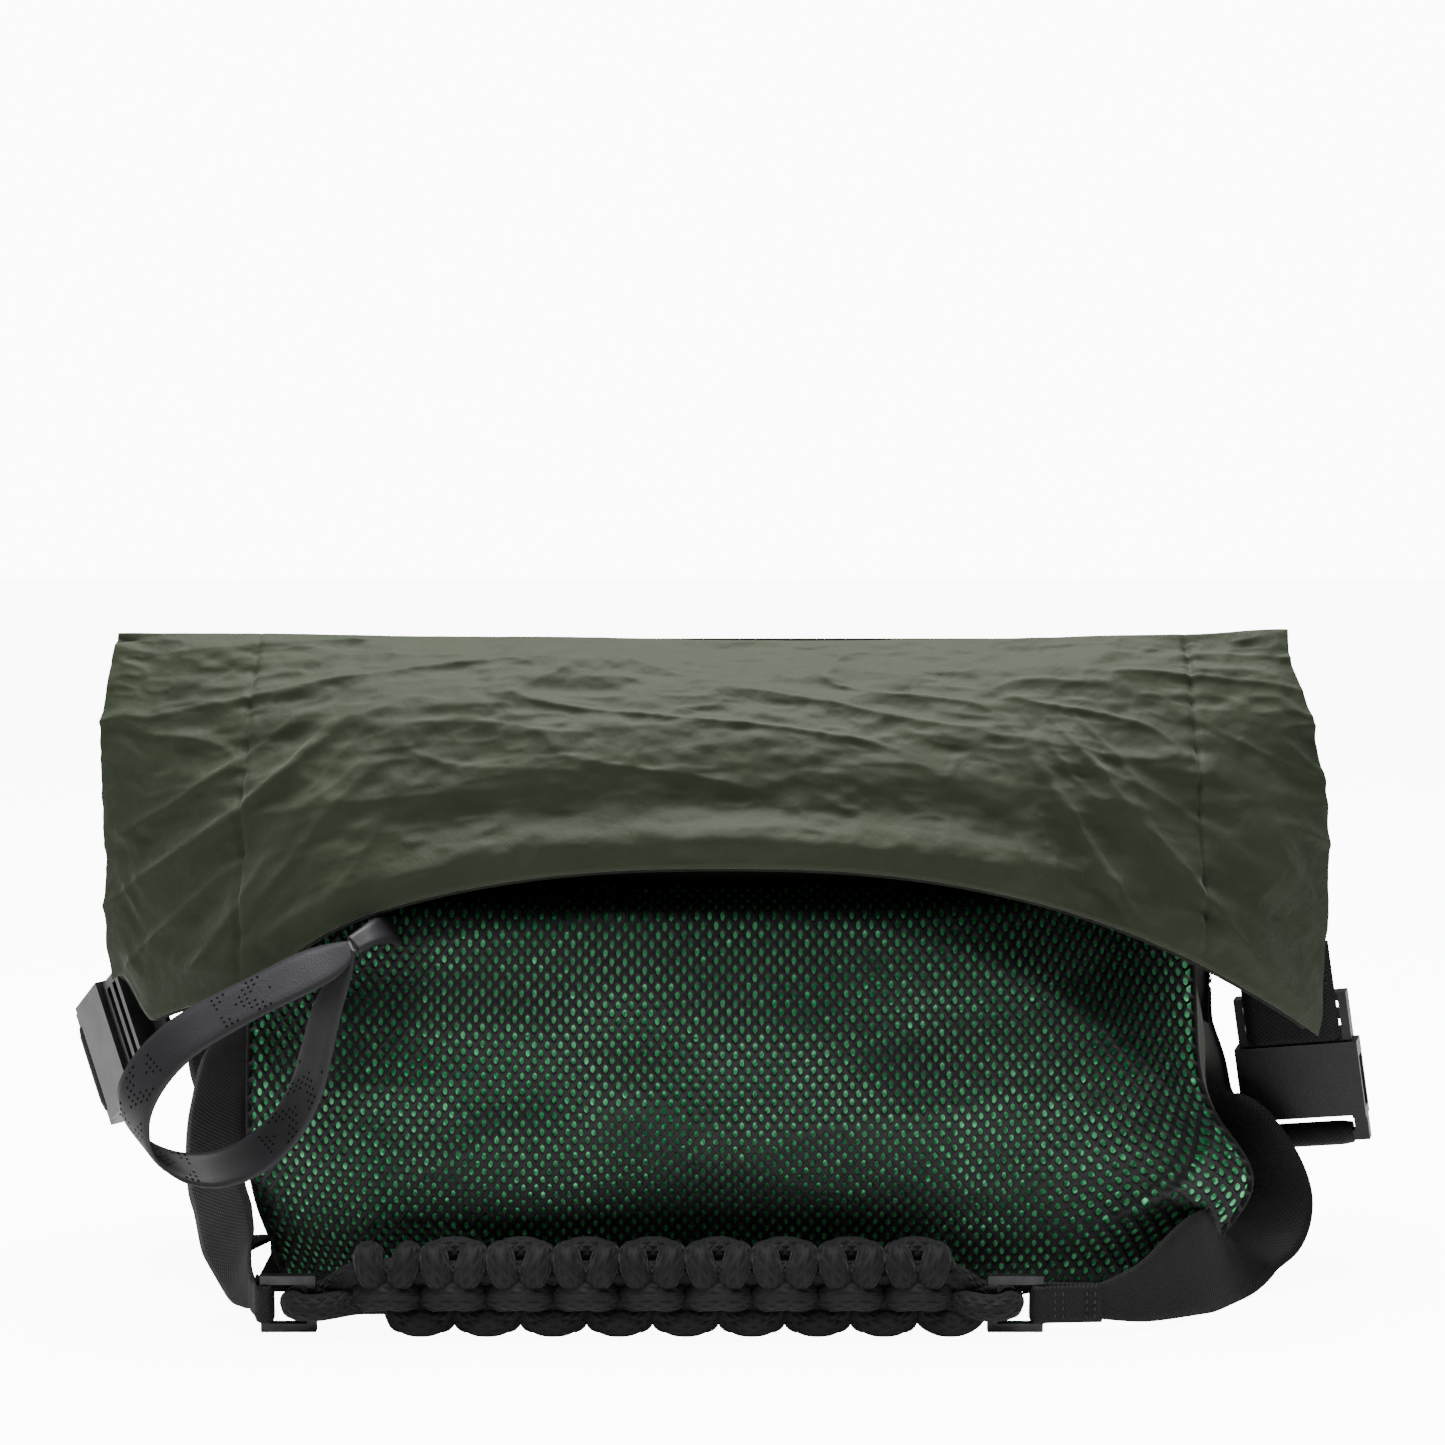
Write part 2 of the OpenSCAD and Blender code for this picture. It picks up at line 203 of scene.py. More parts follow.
def gridFaces(rows, cols, start=0, closed=False):
    index = np.arange(rows * cols).reshape(rows, cols) + start
    if closed:
        index = np.concatenate([index, index[:, :1]], axis=1)
    return np.stack(
        [index[:-1, :-1], index[:-1, 1:], index[1:, 1:], index[1:, :-1]], -1
    ).reshape(-1, 4).tolist()


def lengthsAlong(points, axis):
    step = np.linalg.norm(np.diff(points, axis=axis), axis=2)
    zero = np.zeros_like(np.take(step, [0], axis=axis))
    return np.concatenate([zero, np.cumsum(step, axis=axis)], axis=axis)


# points is rows x columns x 3 in millimetres; the UV map is in metres of cloth
def gridMesh(name, points, material, closed=False):
    points = np.asarray(points, float) * mm
    rows, cols = points.shape[:2]
    uv = np.stack([lengthsAlong(points, 1), lengthsAlong(points, 0)], -1).reshape(-1, 2)
    return buildMesh(name, points.reshape(-1, 3), gridFaces(rows, cols, 0, closed), uv, material)


# Points, faces and UV of a round tube along a path in millimetres
def tubeParts(path, radius, sides, closed=False):
    path = np.asarray(path, float)
    count = len(path)
    if closed:
        ahead = unit(np.roll(path, -1, 0) - np.roll(path, 1, 0))
    else:
        ahead = unit(np.gradient(path, axis=0))
    side = np.cross(ahead[0], [0, 0, 1.0])
    if np.linalg.norm(side) < 0.1:
        side = np.cross(ahead[0], [0, 1.0, 0])
    side = unit(side)
    rings = []
    radii = np.broadcast_to(radius, (count,))
    for i in range(count):
        side = unit(side - np.dot(side, ahead[i]) * ahead[i])
        up = np.cross(side, ahead[i])
        angle = np.linspace(0, 2 * math.pi, sides, endpoint=False)
        rings.append(path[i] + radii[i] * (np.cos(angle)[:, None] * side + np.sin(angle)[:, None] * up))
    run = np.concatenate([[0], np.cumsum(np.linalg.norm(np.diff(path, axis=0), axis=1))])
    uv = np.stack(np.broadcast_arrays(np.arange(sides)[None, :] / sides, run[:, None] * mm), -1)
    faces = gridFaces(count, sides, 0, True)
    if closed:
        last = (count - 1) * sides
        faces += [[last + k, last + (k + 1) % sides, (k + 1) % sides, k] for k in range(sides)]
    else:
        faces.append(list(range(sides - 1, -1, -1)))
        faces.append([(count - 1) * sides + k for k in range(sides)])
    return np.array(rings).reshape(-1, 3), faces, uv.reshape(-1, 2)


def joinParts(name, parts, material):
    points, faces, uv, start = [], [], [], 0
    for p, f, t in parts:
        points.append(p)
        uv.append(t)
        faces += [[i + start for i in face] for face in f]
        start += len(p)
    return buildMesh(name, np.concatenate(points) * mm, faces, np.concatenate(uv), material)


def tube(name, path, radius, sides, material, closed=False):
    return joinParts(name, [tubeParts(path, radius, sides, closed)], material)


# Node helpers and shared node groups


# A shared group that takes a vector and values and gives back one height
def socketGroup(name, inputs):
    group = bpy.data.node_groups.new(name, "ShaderNodeTree")
    group.interface.new_socket("Vector", in_out="INPUT", socket_type="NodeSocketVector")
    for label, value in inputs.items():
        socket = group.interface.new_socket(label, in_out="INPUT", socket_type="NodeSocketFloat")
        socket.default_value = value
    group.interface.new_socket("Height", in_out="OUTPUT", socket_type="NodeSocketFloat")
    return group, group.nodes.new("NodeGroupInput"), group.nodes.new("NodeGroupOutput")


def mathNode(tree, operation, a, b=None, c=None):
    node = tree.nodes.new("ShaderNodeMath")
    node.operation = operation
    for socket, value in zip(node.inputs, (a, b, c)):
        if isinstance(value, (int, float)):
            socket.default_value = value
        elif value is not None:
            tree.links.new(value, socket)
    return node.outputs[0]


# Over-and-under threads: one hill per pitch along both directions
def makeWeaveGroup():
    group, enter, leave = socketGroup("threadWeave", {"Across": 0.0006, "Along": 0.0006})
    split = group.nodes.new("ShaderNodeSeparateXYZ")
    group.links.new(enter.outputs["Vector"], split.inputs[0])
    turns = []
    for axis, label in ((0, "Across"), (1, "Along")):
        share = mathNode(group, "DIVIDE", split.outputs[axis], enter.outputs[label])
        turns.append(mathNode(group, "MULTIPLY", share, math.pi))
    waves = [mathNode(group, "SINE", t) for t in turns]
    product = mathNode(group, "MULTIPLY", waves[0], waves[1])
    group.links.new(mathNode(group, "MULTIPLY_ADD", product, 0.5, 0.5), leave.inputs[0])
    return group


# Diagonal strands that cross, as on a braided cord; Across runs once round the cord
def makeBraidGroup():
    group, enter, leave = socketGroup("cordBraid", {"Strands": 7.0, "Pitch": 0.0052})
    split = group.nodes.new("ShaderNodeSeparateXYZ")
    group.links.new(enter.outputs["Vector"], split.inputs[0])
    around = mathNode(group, "MULTIPLY", split.outputs[0], enter.outputs["Strands"])
    run = mathNode(group, "DIVIDE", split.outputs[1], enter.outputs["Pitch"])
    waves = []
    for sign in (1, -1):
        slant = mathNode(group, "MULTIPLY_ADD", run, sign, around)
        waves.append(mathNode(group, "SINE", mathNode(group, "MULTIPLY", slant, 2 * math.pi)))
    top = mathNode(group, "MAXIMUM", waves[0], waves[1])
    group.links.new(mathNode(group, "MULTIPLY_ADD", top, 0.5, 0.5), leave.inputs[0])
    return group


weaveGroup = makeWeaveGroup()
braidGroup = makeBraidGroup()


# One procedural material. crumple and the weave heights are in metres
# crumple is (noise scale, height); weave is (across, along, height); braid is (strands, pitch, height).
def surface(name, low, high, rough, crumple=None, weave=None, braid=None, sheen=0.0, metal=0.0,
            coat=0.0, patches=35.0, coords="UV", specular=0.5):
    material = bpy.data.materials.new(name)
    material.use_nodes = True
    tree = material.node_tree
    shader = tree.nodes["Principled BSDF"]
    place = tree.nodes.new("ShaderNodeTexCoord")
    blotch = tree.nodes.new("ShaderNodeTexNoise")
    blotch.inputs["Scale"].default_value = patches
    blotch.inputs["Detail"].default_value = 6
    tree.links.new(place.outputs["Object"], blotch.inputs["Vector"])
    shade = tree.nodes.new("ShaderNodeValToRGB")
    shade.color_ramp.elements[0].position, shade.color_ramp.elements[1].position = 0.3, 0.7
    shade.color_ramp.elements[0].color = (*low, 1)
    shade.color_ramp.elements[1].color = (*high, 1)
    tree.links.new(blotch.outputs["Fac"], shade.inputs[0])
    color = shade.outputs[0]
    spread = tree.nodes.new("ShaderNodeMapRange")
    spread.inputs["To Min"].default_value = max(rough - 0.08, 0.05)
    spread.inputs["To Max"].default_value = min(rough + 0.08, 1)
    tree.links.new(blotch.outputs["Fac"], spread.inputs["Value"])
    tree.links.new(spread.outputs[0], shader.inputs["Roughness"])
    normal = None
    heights = []
    if crumple:
        noise = tree.nodes.new("ShaderNodeTexNoise")
        noise.inputs["Scale"].default_value = crumple[0]
        noise.inputs["Detail"].default_value = 5
        tree.links.new(place.outputs["Object"], noise.inputs["Vector"])
        heights.append((noise.outputs["Fac"], crumple[1]))
    for group, values in ((weaveGroup, weave), (braidGroup, braid)):
        if values:
            node = tree.nodes.new("ShaderNodeGroup")
            node.node_tree = group
            node.inputs[1].default_value, node.inputs[2].default_value = values[:2]
            tree.links.new(place.outputs[coords], node.inputs[0])
            heights.append((node.outputs[0], values[2]))
            # The weave or braid height also darkens the colour towards the valleys between threads and
            # strands: painted shade
            valleyShade = tree.nodes.new("ShaderNodeMix")
            valleyShade.data_type = "RGBA"
            valleyShade.inputs[6].default_value = (*[c * 0.45 for c in low], 1)
            tree.links.new(mathNode(tree, "MULTIPLY_ADD", node.outputs[0], 0.7, 0.3), valleyShade.inputs[0])
            tree.links.new(color, valleyShade.inputs[7])
            color = valleyShade.outputs[2]
    for source, height in heights:
        bump = tree.nodes.new("ShaderNodeBump")
        bump.inputs["Distance"].default_value = height
        tree.links.new(source, bump.inputs["Height"])
        if normal:
            tree.links.new(normal, bump.inputs["Normal"])
        normal = bump.outputs[0]
    if normal:
        tree.links.new(normal, shader.inputs["Normal"])
    tree.links.new(color, shader.inputs["Base Color"])
    shader.inputs["Metallic"].default_value = metal
    shader.inputs["Sheen Weight"].default_value = sheen
    shader.inputs["Sheen Roughness"].default_value = 0.4
    shader.inputs["Coat Weight"].default_value = coat
    shader.inputs["Coat Roughness"].default_value = 0.25
    shader.inputs["Specular IOR Level"].default_value = specular
    return material


oliveNylon = surface("oliveNylon", (0.023, 0.032, 0.014), (0.034, 0.045, 0.022), 0.68,
                     crumple=(95, 0.0013), weave=(0.0005, 0.0005, 0.00005), sheen=0.15, specular=0.22)
oliveInside = surface("oliveInside", (0.008, 0.010, 0.007), (0.013, 0.016, 0.011), 0.7,
                      crumple=(200, 0.001), weave=(0.0005, 0.0005, 0.00005), specular=0.2)
# The lining's colour runs in soft random patches from a deep green to a near-white mint: painted highlight
# and shade for the lit and shaded folds of the glossy lining
greenLining = surface("greenLining", (0.03, 0.55, 0.17), (0.22, 1.0, 0.46), 0.32,
                      crumple=(120, 0.003), coat=0.2, patches=28, metal=0.6)
meshYarn = surface("meshYarn", (0.0035, 0.004, 0.004), (0.007, 0.008, 0.008), 0.5,
                   weave=(0.0006, 0.0009, 0.0001), specular=0.3)
blackWebbing = surface("blackWebbing", (0.0028, 0.0028, 0.0032), (0.0046, 0.0046, 0.0052), 0.7,
                       weave=(0.0011, 0.0008, 0.0002), sheen=0.05, specular=0.3)
bucklePlastic = surface("bucklePlastic", (0.003, 0.003, 0.0033), (0.0052, 0.0052, 0.0056), 0.42,
                        crumple=(1400, 0.00012), patches=90, specular=0.4)
ringMetal = surface("ringMetal", (0.02, 0.02, 0.022), (0.045, 0.045, 0.047), 0.34,
                    crumple=(900, 0.0001), metal=0.7, patches=160)
gripCord = surface("gripCord", (0.003, 0.0031, 0.0036), (0.011, 0.0112, 0.0125), 0.72,
                   braid=(9.0, 0.0052, 0.0006), sheen=0.06, specular=0.25)
loopRubber = surface("loopRubber", (0.0125, 0.0125, 0.0142), (0.016, 0.016, 0.0182), 0.5,
                     crumple=(1100, 0.0001), specular=0.35)
# Near-black for the wrist loop's holes: painted shade
paintedHoleShade = surface("paintedHoleShade", (0.0008, 0.0008, 0.0008), (0.0014, 0.0014, 0.0014), 0.9, specular=0.1)
threadBlack = surface("threadBlack", (0.016, 0.016, 0.018), (0.03, 0.03, 0.034), 0.6,
                      weave=(0.0004, 0.0004, 0.0001))
stiffBoard = surface("stiffBoard", (0.01, 0.01, 0.01), (0.016, 0.016, 0.016), 0.7, crumple=(500, 0.0002))
paleFloor = surface("paleFloor", studio["floorColor"], studio["floorColor"], 0.6, specular=0.2)


# The floor glows for the camera alone, so it stays pale and lights nothing
def glowFloor(tree):
    shader = tree.nodes["Principled BSDF"]
    shader.inputs["Emission Color"].default_value = (1, 1, 1, 1)
    path = tree.nodes.new("ShaderNodeLightPath")
    glow = tree.nodes.new("ShaderNodeMath")
    glow.operation = "MULTIPLY"
    glow.inputs[1].default_value = studio["floorGlow"]
    tree.links.new(path.outputs["Is Camera Ray"], glow.inputs[0])
    tree.links.new(glow.outputs[0], shader.inputs["Emission Strength"])


glowFloor(paleFloor.node_tree)
floorRows = [[[x, y, studio["floorHeight"]] for x in (-4000, 4000)] for y in (-3000, 4000)]
floor = gridMesh("floor", floorRows, paleFloor)
floor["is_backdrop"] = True
print("camera, light and materials are set")

# Surfaces that the front, the shell and the trims share
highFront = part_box("front_mesh")[1]
body = {
    "half": round(highFront.x / mm) + 2,
    "ledge": highFront.z / mm,
    "ridge": 156.0,
    "frontAtLedge": 34.0,
    "frontAtFloor": 52.0,
    "frontMiddle": 60.0,
    "bulge": 16.0,
    "back": 56.0,
    "backBulge": 7.0,
    "lobe": 22.0,
    "lobeHeight": 46.0,
    "taper": 13.0,
    "puff": 1.0,
}


def cornerDepth(z):
    return mix(body["frontAtFloor"], body["frontAtLedge"], smooth((z - 60) / 98))


def middleDepth(z):
    return body["frontMiddle"] + body["bulge"] * np.sin(np.radians(z))


def frontDepth(x, z):
    return mix(cornerDepth(z), middleDepth(z), 1 - (np.abs(x) / body["half"]) ** 4)


def backDepth(x, z):
    flatness = 1 - (np.abs(x) / body["half"]) ** 4
    return body["back"] + body["backBulge"] * np.sin(np.radians(z * 0.9)) * flatness


# How far the lower right corner stands out
def lobe(z):
    return body["lobe"] * hump(z, body["lobeHeight"], 25)


# Soft hills, a slanting crease at the lower left, one across the middle and a fan at the lower right
def frontFolds(x, z):
    folds = 4.4 * softNoise(x / 85 + 3, z / 40, 4) + 2.2 * softNoise(x / 36, z / 22, 7)
    lowerLeft = crease((x + 1.9 * z) / 70, (z - 0.35 * x) / 60, 3)
    folds += 3.4 * lowerLeft * smooth((-x - 20) / 80) * hump(z, 42, 34)
    middle = crease(x / 120 + 0.4, (z - 0.12 * x) / 30, 18)
    folds += 2.6 * middle * hump(x, -40, 110) * hump(z, 66, 30)
    lowerRight = crease((x - 0.9 * z) / 34, (z + 0.5 * x) / 80, 9)
    folds += 4.6 * lowerRight * smooth((x - 96) / 50) * hump(z, 44, 40)
    return folds


# Puffy front: across and up run from 0 to 1, from the left and from the floor
def frontSurface(across, up, inset):
    across, up = np.broadcast_arrays(np.asarray(across, float), np.asarray(up, float))
    x = mix(-body["half"] + 1, body["half"] - 1, across)
    z = np.interp(up, [0, 0.9, 1], [1.8, body["ledge"] - 1, body["ledge"] + 5])
    corner = np.abs(x) / body["half"]
    ridge = body["ridge"] - 10 * corner - 62 * corner ** 3 * smooth((x + 40) / 80) - 16 * corner ** 3
    depth = frontDepth(x, np.minimum(z, body["ledge"]))
    lean = mix(0.1, 0.42, smooth(corner * 1.3)) * smooth((1.02 - corner) / 0.2)
    tuck = 24 * smooth((up - 0.86) / 0.14) ** 1.5 + 9 * np.clip((0.06 - up) / 0.06, 0, 1) ** 2
    edge = smooth((1 - corner) / 0.06) * smooth(up / 0.08)
    depth = depth - np.maximum(z - ridge, 0) * lean - tuck + frontFolds(x, z) * edge * body["puff"]
    taper = body["taper"] * smooth((-x - 130) / 56) * hump(z, 4, 28)
    x = x + lobe(z) * smooth((x - 118) / 68) + taper
    return np.stack([x, -(depth - inset), z], -1)


# Front: sport mesh with real holes over a glossy lining
sportMesh = {
    "pitch": 5.15,
    "rowPitch": 3.2,
    "holeWide": 0.92,
    "holeTall": 1.55,
    "width": 388.0,
    "height": 176.0,
    "clear": 1.6,
    "yarn": 0.8,
}


# One six-sided cell per hole, staggered; every cell is a ring from its border to its hole
def makeFrontMesh():
    wide, tall = sportMesh["width"], sportMesh["height"]
    pitch, row = sportMesh["pitch"], sportMesh["rowPitch"]
    columns, rows = int(wide / pitch), int(tall / row)
    reach = pitch / 2
    half, apex = (row ** 2 - reach ** 2) / (2 * row), (row ** 2 + reach ** 2) / (2 * row)
    outline = [(reach, -half), (reach, half), (0, apex), (-reach, half), (-reach, -half), (0, -apex)]
    ring = []
    for i in range(6):
        a, b = np.array(outline[i]), np.array(outline[(i + 1) % 6])
        ring += [a, (a + b) / 2]
    ring = np.array(ring)
    angles = np.arctan2(ring[:, 1] / sportMesh["holeTall"], ring[:, 0] / sportMesh["holeWide"])
    hole = np.stack([np.cos(angles) * sportMesh["holeWide"], np.sin(angles) * sportMesh["holeTall"]], -1)
    points, faces, lift = [], [], []
    index = {}

    def vertex(x, y, up):
        key = (round(x * 50), round(y * 50), up)
        if key not in index:
            index[key] = len(points)
            points.append((x, y))
            lift.append(up)
        return index[key]

    for r in range(rows):
        for c in range(columns - (r % 2)):
            cx = (c + 0.5 + 0.5 * (r % 2)) * pitch
            cy = (r + 0.8) * row
            outer = [vertex(cx + p[0], cy + p[1], 1) for p in ring]
            inner = [vertex(cx + p[0], cy + p[1], 0) for p in hole]
            for k in range(12):
                m = (k + 1) % 12
                faces.append([outer[k], outer[m], inner[m], inner[k]])
    flat = np.array(points)
    across = np.clip(flat[:, 0] / (columns * pitch), 0, 1)
    up = np.clip(flat[:, 1] / (rows * row), 0, 1)
    spot = frontSurface(across, up, 0)
    side = frontSurface(across + 0.002, up, 0) - spot
    rise = frontSurface(across, up + 0.002, 0) - spot
    outward = unit(np.cross(side, rise))
    spot = spot + outward * (np.array(lift)[:, None] * sportMesh["yarn"] + sportMesh["clear"])
    return buildMesh("frontMesh", spot * mm, faces, flat * mm, meshYarn)


frontMesh = makeFrontMesh()
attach(frontMesh, "bag")
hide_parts("front_mesh")

across, up = np.meshgrid(np.linspace(0, 1, 150), np.linspace(0, 1, 90))
frontLining = gridMesh("frontLining", frontSurface(across, up, 1.0), greenLining)
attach(frontLining, "bag")
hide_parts("front_lining")
print("front mesh and lining are made")


# Shell: gussets and back, then the neck up to the fold
shell = {"sidePoints": 18, "backPoints": 60, "gussetBulge": 9.0, "gussetBulgeHeight": 96.0}


# Right front corner, right side, back, left side and left front corner at height z
def shellOutline(z):
    half = body["half"]
    side = np.linspace(0, 1, shell["sidePoints"])
    depth = cornerDepth(np.minimum(z, body["ledge"]))
    ySide = mix(-depth + 1, 49, side)
    gusset = shell["gussetBulge"] * hump(z, shell["gussetBulgeHeight"], 36)
    bulge = np.sin(math.pi * side) * (1.6 * softNoise(side * 2.4, z / 40, 12) + gusset)
    right = half + 1 + lobe(z) * (1 - smooth(side / 0.45)) + bulge
    left = -half - 1 - 1.6 * np.sin(math.pi * side) * softNoise(side * 2.4, z / 36, 15)
    left = left + body["taper"] * hump(z, 4, 28) * (1 - smooth(side / 0.6))
    back = np.linspace(half - 4, -half + 4, shell["backPoints"])
    yBack = backDepth(back, np.minimum(z, body["ledge"]))
    yBack = yBack + 1.6 * softNoise(back / 60, z / 42, 21) * smooth(z / 20)
    rows = [np.stack([right, ySide, np.full(shell["sidePoints"], z)], -1)]
    rows.append(np.stack([back, yBack - 1, np.full(shell["backPoints"], z)], -1))
    rows.append(np.stack([left[::-1], ySide[::-1], np.full(shell["sidePoints"], z)], -1))
    return np.concatenate(rows)


shellHeights = np.concatenate([[0.9], np.linspace(2.5, body["ledge"] + 1, 44)])
bodyShell = gridMesh("bodyShell", np.array([shellOutline(z) for z in shellHeights]), oliveNylon)
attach(bodyShell, "bag")
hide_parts("back_panel", "gusset_left", "gusset_right")

neck = {"top": 255.5, "rightEdge": 226.0, "leftEdge": -243.0, "columns": 90, "sidePoints": 10, "pinch": 26.0}


# Closed loop round the neck; t runs from the ledge to the fold, where it lies flat
def neckOutline(t):
    z = mix(body["ledge"] - 1, neck["top"], t)
    spread = smooth(t * 1.05)
    right = mix(body["half"], neck["rightEdge"], spread)
    left = mix(-body["half"], neck["leftEdge"], spread)
    s = np.linspace(0, 1, neck["columns"])
    x = mix(left, right, s)
    within = np.clip(x, -body["half"], body["half"])
    near = mix(-frontDepth(within, body["ledge"]) + 24, -2.0, t)
    far = mix(backDepth(within, body["ledge"]) - 1, 3.6, t ** 0.9)
    wave = 2.4 * softNoise(x / 46, z / 30, 31) * math.sin(math.pi * t)
    side = np.linspace(0, 1, neck["sidePoints"] + 2)[1:-1]
    pinch = neck["pinch"] * math.sin(math.pi * min(t, 0.98)) * np.sin(math.pi * side)
    frontRow = np.stack([x, near - wave * 0.4, np.full(neck["columns"], z)], -1)
    rightRow = np.stack([right - pinch, mix(near[-1], far[-1], side), np.full(neck["sidePoints"], z)], -1)
    backRow = np.stack([x[::-1], (far + wave)[::-1], np.full(neck["columns"], z)], -1)
    leftRow = np.stack([left + pinch, mix(far[0], near[0], side), np.full(neck["sidePoints"], z)], -1)
    return np.concatenate([frontRow, rightRow, backRow, leftRow])


neckTube = gridMesh("neckTube", np.array([neckOutline(t) for t in np.linspace(0, 1, 36)]), oliveNylon, True)
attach(neckTube, "bag")
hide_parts("neck_front", "neck_back")

base = {"half": 187, "front": -50, "back": 57, "height": 0.5}
baseRows = np.array([[[x, y, base["height"]] for x in np.linspace(-base["half"], base["half"], 40)]
                     for y in np.linspace(base["front"], base["back"], 14)])
basePanel = gridMesh("basePanel", baseRows, oliveNylon)
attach(basePanel, "bag")
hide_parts("base_panel")
print("body shell, neck and base are made")

# Folded sleeve
sleeve = {
    "fold": 258.0,
    "hemMiddle": 177.0,
    "hemDrop": 78.0,
    "halfWidth": 240,
    "seam": 186,
    "crinkle": 1.0,
    "foldRadius": 3.4,
    "columns": 420,
    "pipingRadius": 1.3,
}


def hemHeight(x):
    z = sleeve["hemMiddle"] - sleeve["hemDrop"] * (np.abs(x) / sleeve["halfWidth"]) ** 2.5
    return z - 10 * hump(x, -sleeve["seam"], 26) + 27 * smooth((-224 - x) / 17)


def hemDepth(x):
    return -(76 - 46 * (np.abs(x) / sleeve["halfWidth"]) ** 4)


def foldHeight(x):
    ends = 2.2 * smooth((np.abs(x) - 90) / 130) + 1.6 * smooth((x - 190) / 35)
    return sleeve["fold"] - 0.8 - 1.2 * hump(x, 40, 70) + ends


# s runs from the left edge to the right, t from the fold to the hem
def sleeveSurface(s, t, offset):
    s, t = np.broadcast_arrays(np.asarray(s, float), np.asarray(t, float))
    left = -244 - 2 * np.sin(math.pi * np.clip(t, 0, 1)) + 1.2 * softNoise(t * 5, 1.3, 8)
    right = 227 + 12.5 * smooth(t / 0.75) - 3 * smooth((t - 0.8) / 0.2) + 1.0 * softNoise(t * 6, 2.3, 8)
    x = mix(left, right, s)
    ex, ez = hemDepth(x), hemHeight(x)
    top = foldHeight(x)
    cy, cz = 0.75 * ex, mix(top, ez, 0.22)
    a, b, c = (1 - t) ** 2, 2 * t * (1 - t), t * t
    y = b * cy + c * ex
    z = a * top + b * cz + c * ez
    return x, y + offset[0], z + offset[1]


# Height of the cloth's wrinkles at a point of the sleeve's outer layer
def sleeveFolds(x, z, t):
    fade = smooth(t / 0.08) * smooth((1.02 - t) / 0.1)
    out = 2.4 * softNoise(x / 80, t * 2.1, 5) + 1.5 * softNoise(x / 38 + t, t * 5.2, 6)
    out += 2.3 * crease(x / 95 + 0.5 * t, t * 5.5 + x / 160, 14, 4) * hump(t, 0.3, 0.28)
    out += 1.7 * crease(x / 60 - 0.8 * t, t * 9 - x / 120, 17, 4) * hump(t, 0.45, 0.3)
    out += 0.75 * softNoise(x / 15, t * 19, 11) + 0.42 * softNoise(x / 7, t * 33, 13)
    out += 0.5 * crease(x / 11 + 2 * t, t * 24, 41, 2)
    inner = smooth((170 - np.abs(x)) / 70)
    out += -4.6 * hump(t, 0.80, 0.085) * inner + 1.6 * hump(t, 0.93, 0.05) * inner
    for side, pivotX, pivotZ, far, seed in ((-1, -70, 290, 105, 23), (1, 80, 285, 90, 27)):
        angle = np.arctan2(pivotZ - z, np.maximum(side * (x - pivotX), 5))
        radius = np.hypot(x - pivotX, z - pivotZ)
        fan = crease(angle * 5.2, radius / 130, seed, 3) + 0.5 * crease(angle * 11, radius / 70, seed + 1, 3)
        out += 4.2 * (fan - 0.4) * smooth((side * x - far) / 60) * smooth((t - 0.3) / 0.35)
        gap = np.abs(x - side * sleeve["seam"])
        out += -1.6 * np.exp(-((gap / 1.3) ** 2))
        out += 1.1 * np.exp(-gap / 10) * softNoise(t * 30, side * 3 + x / 90, 33)
    return out * fade * sleeve["crinkle"]


def sleeveLayer(s, t, offset, wrinkled):
    x, y, z = sleeveSurface(s, t, offset)
    points = np.stack([x, y, z], -1)
    rise = np.stack(sleeveSurface(s, t + 0.004, offset), -1) - points
    side = np.stack(sleeveSurface(s + 0.003, t, offset), -1) - points
    outward = unit(np.cross(rise, side))
    if wrinkled:
        points = points + outward * sleeveFolds(x, z, t)[..., None]
    return points


s, t = np.meshgrid(np.linspace(0, 1, sleeve["columns"]), np.linspace(0.02, 1, 150))
outer = sleeveLayer(s, t, (0, 0), True)
topRow = outer[0]
arc = []
for angle in np.linspace(-0.5, math.pi * 0.62, 12):
    row = topRow.copy()
    row[:, 1] = sleeve["foldRadius"] * math.cos(angle) + 0.6 + (topRow[:, 1] + 2.0) * smooth(angle / 1.9)
    row[:, 2] = topRow[:, 2] - 3.6 + sleeve["foldRadius"] * math.sin(angle)
    arc.append(row)
hemRow = outer[-1]
turnUnder = [(0.5, -1.3), (1.6, -2.0), (2.8, -1.7), (3.6, -0.4), (4.4, 3.0), (5.0, 8.0), (5.4, 12.0)]
roll = [hemRow + np.array((0, back, up)) for back, up in turnUnder]
sleeveOuter = gridMesh("sleeveOuter", np.concatenate([np.array(arc[:-1]), outer, np.array(roll)]), oliveNylon)
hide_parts("sleeve_center", "sleeve_wing_left", "sleeve_wing_right")
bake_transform(sleeveOuter)

s, t = np.meshgrid(np.linspace(0.002, 0.998, 140), np.linspace(0.12, 0.985, 46))
inner = sleeveLayer(s, t, (9.0, -3.2), False)
inner[..., 1] += 1.2 * softNoise(inner[..., 0] / 40, inner[..., 2] / 25, 55)
sleeveInner = gridMesh("sleeveInner", inner, oliveInside)
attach(sleeveInner, "sleeve")
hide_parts("sleeve_inner")

hemLine = np.array([hemRow[i] + (0, 5.4, -2.4) for i in range(3, sleeve["columns"] - 3, 3)])
hemPiping = tube("hemPiping", hemLine, sleeve["pipingRadius"], 8, oliveInside)
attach(hemPiping, "sleeve")
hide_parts("hem_binding")
print("sleeve is made")

# Carry strap webbing
webbing = {"width": 38.0, "thick": 1.9, "columns": 10, "anchorThick": 2.3, "anchorShiftRight": 9.5}


